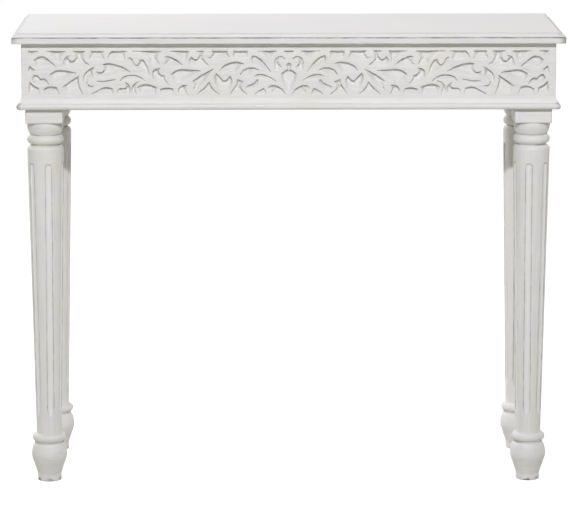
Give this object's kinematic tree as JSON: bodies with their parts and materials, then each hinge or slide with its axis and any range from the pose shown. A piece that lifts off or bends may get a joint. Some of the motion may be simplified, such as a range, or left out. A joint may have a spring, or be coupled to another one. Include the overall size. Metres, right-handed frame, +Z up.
{
  "type": "pier table",
  "caption": "Long, shallow wall table in worn white paint: moulded top, front apron carved with leafy scrolls, beaded base moulding, turned and fluted legs with bulb feet.",
  "frame": {"origin": "on the floor, under the middle of the table", "axes": "+X along the length, to the right seen from the front, +Y to the back, +Z up; the carved front faces -Y"},
  "size_m": [1.092, 0.394, 0.914],
  "materials": {
    "whitewashed_wood": "matt white paint, rubbed thin on the arrises",
    "bare_wood": "sawn and planed, unfinished",
    "zinc_steel": "zinc plated"
  },
  "bodies": {
    "root": {"table_top": "whitewashed_wood", "front_apron": "whitewashed_wood", "back_apron": "whitewashed_wood", "left_apron": "whitewashed_wood", "right_apron": "whitewashed_wood", "front_moulding": "whitewashed_wood", "back_moulding": "whitewashed_wood", "left_moulding": "whitewashed_wood", "right_moulding": "whitewashed_wood", "front_left_leg": "whitewashed_wood", "front_right_leg": "whitewashed_wood", "back_left_leg": "whitewashed_wood", "back_right_leg": "whitewashed_wood", "front_left_block": "bare_wood", "front_right_block": "bare_wood", "back_left_block": "bare_wood", "back_right_block": "bare_wood", "front_cleat": "bare_wood", "back_cleat": "bare_wood", "left_cleat": "bare_wood", "right_cleat": "bare_wood", "apron_dowels": "bare_wood", "hanger_bolts": "zinc_steel", "threaded_inserts": "zinc_steel", "cleat_screws": "zinc_steel"}
  },
  "joints": []
}
